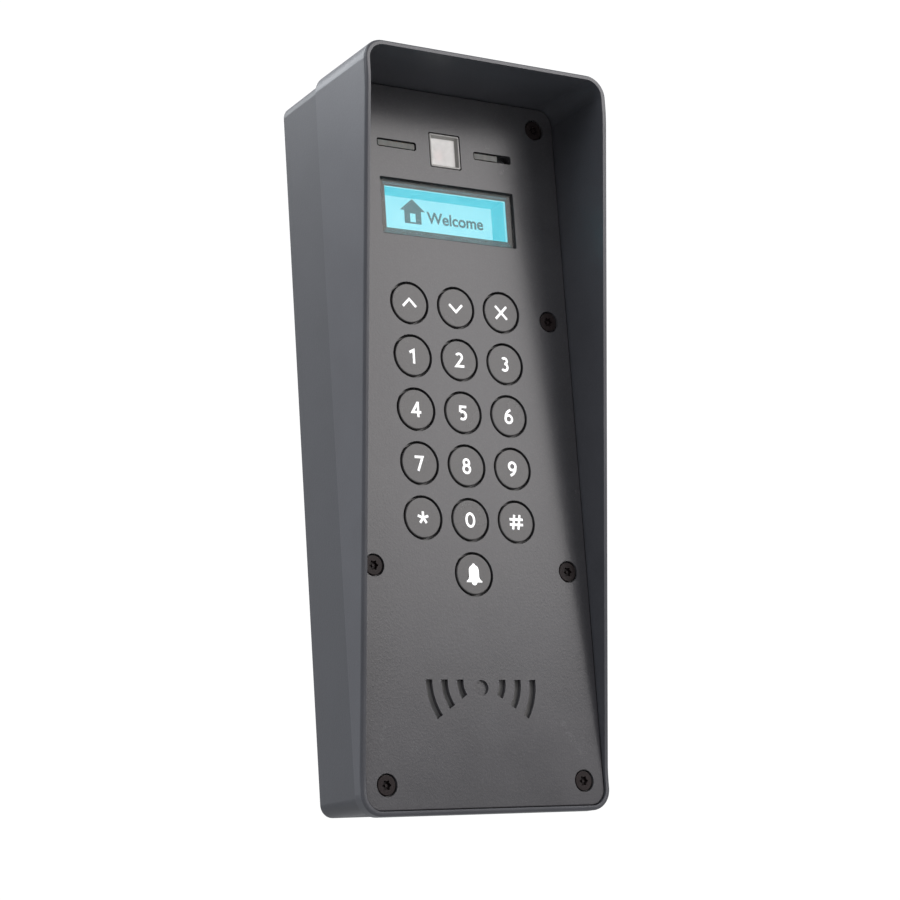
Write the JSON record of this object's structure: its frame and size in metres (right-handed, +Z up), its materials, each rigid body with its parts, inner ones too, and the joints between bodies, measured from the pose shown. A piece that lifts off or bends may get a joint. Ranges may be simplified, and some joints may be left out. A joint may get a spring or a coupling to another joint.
{
  "type": "door intercom panel",
  "caption": "Surface-mounted door entry intercom panel with slanted rain hood, camera window, display, push-button keypad, call button and loudspeaker slots.",
  "frame": {"origin": "centre of the back box's rear face, on the wall", "axes": "+Z up, +Y into the wall, the panel faces -Y, +X to the right as a visitor sees it"},
  "size_m": [0.1046, 0.067, 0.2718],
  "materials": {
    "box_coat": "fine-texture charcoal powder coat",
    "hood_coat": "fine-texture charcoal powder coat",
    "panel_coat": "fine-texture charcoal powder coat",
    "rubber_black": "matte moulded EPDM",
    "screw_black": "black-oxide stainless steel",
    "screw_zinc": "zinc-plated steel",
    "bezel_silver": "satin silver-grey frame with sloping inner faces",
    "pane_frosted": "clear pane, faint haze",
    "module_black": "moulded lens holder",
    "lens_glass": "coated lens element",
    "light_pipe_clear": "translucent acrylic, faint green",
    "capsule_metal": "satin can",
    "window_clear": "clear hard-coated acrylic",
    "display_bezel": "warm grey satin",
    "display_cell": "liquid crystal cell",
    "display_lamp": "cyan-lit diffuser",
    "silicone_grey": "translucent silicone",
    "speaker_steel": "plated steel basket and magnet cup",
    "speaker_paper": "doped paper and rubber roll",
    "foam_black": "closed-cell foam",
    "board_green": "glass-fibre board, green mask",
    "connector_black": "moulded nylon",
    "terminal_green": "moulded polyamide",
    "cover_plastic": "moulded ABS",
    "key_plastic": "fine-texture moulded key cap",
    "legend_white": "white two-shot legend"
  },
  "bodies": {
    "root": {"back_box": "box_coat", "rain_hood": "hood_coat", "front_panel": "panel_coat", "cable_grommet": "rubber_black", "box_seal": "rubber_black", "panel_gasket": "rubber_black", "panel_screws": "screw_black", "camera_bezel": "bezel_silver", "camera_pane": "pane_frosted", "camera_module": "module_black", "camera_lens": "lens_glass", "light_pipe_left": "light_pipe_clear", "light_pipe_right": "light_pipe_clear", "microphone_boot": "rubber_black", "microphone": "capsule_metal", "display_window": "window_clear", "display_frame": "display_bezel", "display_glass": "display_cell", "display_lamp_box": "display_lamp", "keypad_mat": "silicone_grey", "loudspeaker": "speaker_steel", "speaker_cone": "speaker_paper", "speaker_gasket": "foam_black", "main_board": "board_green", "network_jack": "connector_black", "terminal_block": "terminal_green", "module_cover": "cover_plastic", "module_screws": "screw_zinc"},
    "key_up": {"key_up_cap": "key_plastic", "key_up_legend": "legend_white"},
    "key_down": {"key_down_cap": "key_plastic", "key_down_legend": "legend_white"},
    "key_cancel": {"key_cancel_cap": "key_plastic", "key_cancel_legend": "legend_white"},
    "key_1": {"key_1_cap": "key_plastic", "key_1_legend": "legend_white"},
    "key_2": {"key_2_cap": "key_plastic", "key_2_legend": "legend_white"},
    "key_3": {"key_3_cap": "key_plastic", "key_3_legend": "legend_white"},
    "key_4": {"key_4_cap": "key_plastic", "key_4_legend": "legend_white"},
    "key_5": {"key_5_cap": "key_plastic", "key_5_legend": "legend_white"},
    "key_6": {"key_6_cap": "key_plastic", "key_6_legend": "legend_white"},
    "key_7": {"key_7_cap": "key_plastic", "key_7_legend": "legend_white"},
    "key_8": {"key_8_cap": "key_plastic", "key_8_legend": "legend_white"},
    "key_9": {"key_9_cap": "key_plastic", "key_9_legend": "legend_white"},
    "key_star": {"key_star_cap": "key_plastic", "key_star_legend": "legend_white"},
    "key_0": {"key_0_cap": "key_plastic", "key_0_legend": "legend_white"},
    "key_hash": {"key_hash_cap": "key_plastic", "key_hash_legend": "legend_white"},
    "key_bell": {"key_bell_cap": "key_plastic", "key_bell_legend": "legend_white"}
  },
  "joints": [
    {"name": "key_up_press", "type": "slide", "parent": "root", "child": "key_up", "axis": [0, 1, 0], "range_m": [0, 0.0008], "stiffness_N_per_m": 1000, "springref_m": -0.001, "deforming": ["keypad_mat"]},
    {"name": "key_down_press", "type": "slide", "parent": "root", "child": "key_down", "axis": [0, 1, 0], "range_m": [0, 0.0008], "stiffness_N_per_m": 1000, "springref_m": -0.001, "deforming": ["keypad_mat"]},
    {"name": "key_cancel_press", "type": "slide", "parent": "root", "child": "key_cancel", "axis": [0, 1, 0], "range_m": [0, 0.0008], "stiffness_N_per_m": 1000, "springref_m": -0.001, "deforming": ["keypad_mat"]},
    {"name": "key_1_press", "type": "slide", "parent": "root", "child": "key_1", "axis": [0, 1, 0], "range_m": [0, 0.0008], "stiffness_N_per_m": 1000, "springref_m": -0.001, "deforming": ["keypad_mat"]},
    {"name": "key_2_press", "type": "slide", "parent": "root", "child": "key_2", "axis": [0, 1, 0], "range_m": [0, 0.0008], "stiffness_N_per_m": 1000, "springref_m": -0.001, "deforming": ["keypad_mat"]},
    {"name": "key_3_press", "type": "slide", "parent": "root", "child": "key_3", "axis": [0, 1, 0], "range_m": [0, 0.0008], "stiffness_N_per_m": 1000, "springref_m": -0.001, "deforming": ["keypad_mat"]},
    {"name": "key_4_press", "type": "slide", "parent": "root", "child": "key_4", "axis": [0, 1, 0], "range_m": [0, 0.0008], "stiffness_N_per_m": 1000, "springref_m": -0.001, "deforming": ["keypad_mat"]},
    {"name": "key_5_press", "type": "slide", "parent": "root", "child": "key_5", "axis": [0, 1, 0], "range_m": [0, 0.0008], "stiffness_N_per_m": 1000, "springref_m": -0.001, "deforming": ["keypad_mat"]},
    {"name": "key_6_press", "type": "slide", "parent": "root", "child": "key_6", "axis": [0, 1, 0], "range_m": [0, 0.0008], "stiffness_N_per_m": 1000, "springref_m": -0.001, "deforming": ["keypad_mat"]},
    {"name": "key_7_press", "type": "slide", "parent": "root", "child": "key_7", "axis": [0, 1, 0], "range_m": [0, 0.0008], "stiffness_N_per_m": 1000, "springref_m": -0.001, "deforming": ["keypad_mat"]},
    {"name": "key_8_press", "type": "slide", "parent": "root", "child": "key_8", "axis": [0, 1, 0], "range_m": [0, 0.0008], "stiffness_N_per_m": 1000, "springref_m": -0.001, "deforming": ["keypad_mat"]},
    {"name": "key_9_press", "type": "slide", "parent": "root", "child": "key_9", "axis": [0, 1, 0], "range_m": [0, 0.0008], "stiffness_N_per_m": 1000, "springref_m": -0.001, "deforming": ["keypad_mat"]},
    {"name": "key_star_press", "type": "slide", "parent": "root", "child": "key_star", "axis": [0, 1, 0], "range_m": [0, 0.0008], "stiffness_N_per_m": 1000, "springref_m": -0.001, "deforming": ["keypad_mat"]},
    {"name": "key_0_press", "type": "slide", "parent": "root", "child": "key_0", "axis": [0, 1, 0], "range_m": [0, 0.0008], "stiffness_N_per_m": 1000, "springref_m": -0.001, "deforming": ["keypad_mat"]},
    {"name": "key_hash_press", "type": "slide", "parent": "root", "child": "key_hash", "axis": [0, 1, 0], "range_m": [0, 0.0008], "stiffness_N_per_m": 1000, "springref_m": -0.001, "deforming": ["keypad_mat"]},
    {"name": "key_bell_press", "type": "slide", "parent": "root", "child": "key_bell", "axis": [0, 1, 0], "range_m": [0, 0.0008], "stiffness_N_per_m": 1000, "springref_m": -0.001, "deforming": ["keypad_mat"]}
  ]
}
